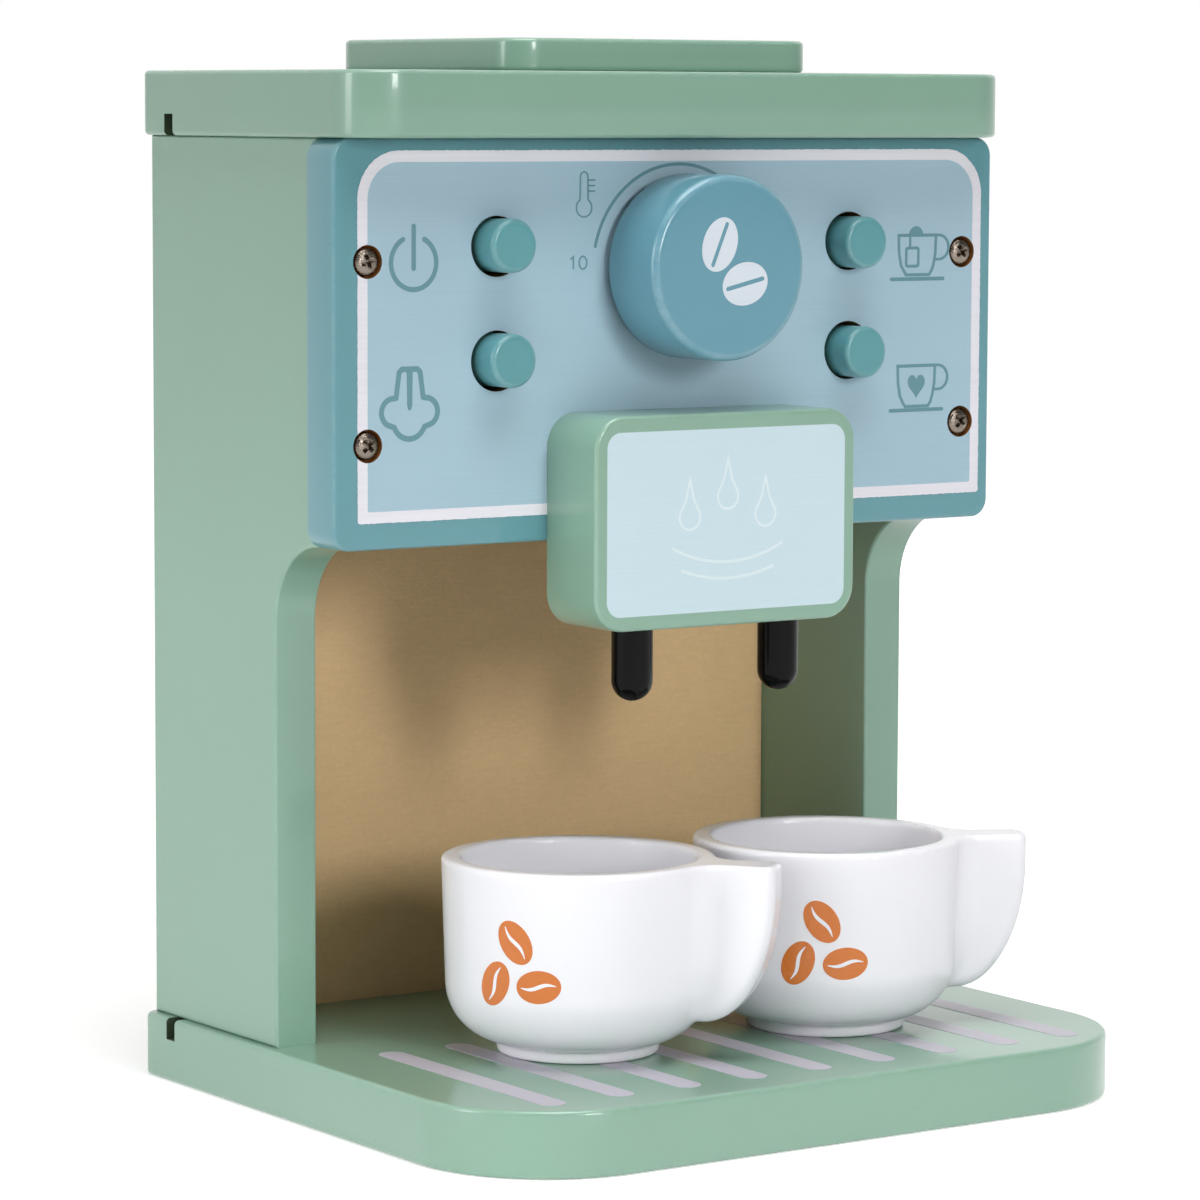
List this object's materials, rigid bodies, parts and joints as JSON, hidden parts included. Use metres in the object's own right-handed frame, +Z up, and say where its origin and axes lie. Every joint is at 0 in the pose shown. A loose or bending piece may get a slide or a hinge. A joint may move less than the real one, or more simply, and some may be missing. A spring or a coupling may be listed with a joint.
{
  "type": "toy coffee maker",
  "caption": "Wooden toy coffee maker with a turning knob, sprung push buttons, a spout block with pouring spouts, and loose cups on a tray board under an open-fronted housing.",
  "frame": {"origin": "the middle of the tray board's underside, where the toy stands", "axes": "+X to the right seen from the front, +Y to the back, +Z up"},
  "size_m": [0.148, 0.125, 0.196],
  "materials": {
    "sage_paint": "satin sage green paint on fibreboard",
    "teal_paint": "satin teal blue paint on fibreboard, with a printed field, dial marks and icons",
    "knob_paint": "satin teal blue paint on turned wood",
    "button_paint": "satin teal green paint on turned wood",
    "black_gloss": "glossy black lacquer on a wooden rod",
    "bare_hardboard": "unpainted thin fibreboard",
    "bare_wood": "unpainted beech",
    "steel": "bright zinc-plated steel",
    "spring_steel": "bright drawn spring wire",
    "nylon": "natural nylon",
    "white_glaze": "smooth white lacquer on turned wood, with a printed badge",
    "field_ink": "light blue screen-printed ink",
    "white_ink": "white screen-printed ink",
    "teal_ink": "teal screen-printed ink",
    "label_ink": "pale blue screen-printed ink",
    "slat_ink": "lilac grey screen-printed ink",
    "badge_ink": "orange transfer print"
  },
  "bodies": {
    "housing": {"base_board": "sage_paint", "side_panel_left": "sage_paint", "side_panel_right": "sage_paint", "top_board": "sage_paint", "back_panel": "bare_hardboard", "front_board": "teal_paint", "top_plate": "sage_paint", "base_screw_left_front": "steel", "base_screw_left_rear": "steel", "base_screw_right_front": "steel", "base_screw_right_rear": "steel", "top_dowel_left_front": "bare_wood", "top_dowel_left_rear": "bare_wood", "top_dowel_right_front": "bare_wood", "top_dowel_right_rear": "bare_wood", "plate_dowel_left": "bare_wood", "plate_dowel_right": "bare_wood", "front_screw_left_upper": "steel", "front_screw_left_lower": "steel", "front_screw_right_upper": "steel", "front_screw_right_lower": "steel", "spout_block": "sage_paint", "spout_left": "black_gloss", "block_screw_left": "steel", "spout_right": "black_gloss", "block_screw_right": "steel", "knob_spacer": "nylon", "knob_washer": "steel", "button_spring_left_upper": "spring_steel", "button_spring_left_lower": "spring_steel", "spring_housing_left": "bare_wood", "housing_screw_left_upper": "steel", "housing_screw_left_lower": "steel", "button_spring_right_upper": "spring_steel", "button_spring_right_lower": "spring_steel", "spring_housing_right": "bare_wood", "housing_screw_right_upper": "steel", "housing_screw_right_lower": "steel"},
    "knob": {"control_knob": "knob_paint", "knob_screw": "steel"},
    "cup_left_body": {"cup_left": "white_glaze"},
    "cup_right_body": {"cup_right": "white_glaze"},
    "button_left_upper_body": {"button_left_upper": "button_paint"},
    "button_left_lower_body": {"button_left_lower": "button_paint"},
    "button_right_upper_body": {"button_right_upper": "button_paint"},
    "button_right_lower_body": {"button_right_lower": "button_paint"}
  },
  "joints": [
    {"name": "knob_turn", "type": "hinge", "parent": "housing", "child": "knob", "pos_m": [0.0005, -0.0094, 0.15455], "axis": [0, -1, 0], "continuous": true},
    {"name": "button_left_upper_press", "type": "slide", "parent": "housing", "child": "button_left_upper_body", "axis": [0, 1, 0], "range_m": [0, 0.0036], "stiffness_N_per_m": 300, "springref_m": -0.003, "deforming": ["button_spring_left_upper"]},
    {"name": "button_left_lower_press", "type": "slide", "parent": "housing", "child": "button_left_lower_body", "axis": [0, 1, 0], "range_m": [0, 0.0036], "stiffness_N_per_m": 300, "springref_m": -0.003, "deforming": ["button_spring_left_lower"]},
    {"name": "button_right_upper_press", "type": "slide", "parent": "housing", "child": "button_right_upper_body", "axis": [0, 1, 0], "range_m": [0, 0.0036], "stiffness_N_per_m": 300, "springref_m": -0.003, "deforming": ["button_spring_right_upper"]},
    {"name": "button_right_lower_press", "type": "slide", "parent": "housing", "child": "button_right_lower_body", "axis": [0, 1, 0], "range_m": [0, 0.0036], "stiffness_N_per_m": 300, "springref_m": -0.003, "deforming": ["button_spring_right_lower"]},
    {"name": "cup_left_pull", "type": "slide", "parent": "housing", "child": "cup_left_body", "axis": [0, -1, 0], "range_m": [0, 0.036]},
    {"name": "cup_right_pull", "type": "slide", "parent": "housing", "child": "cup_right_body", "axis": [0, -1, 0], "range_m": [0, 0.0315]}
  ]
}
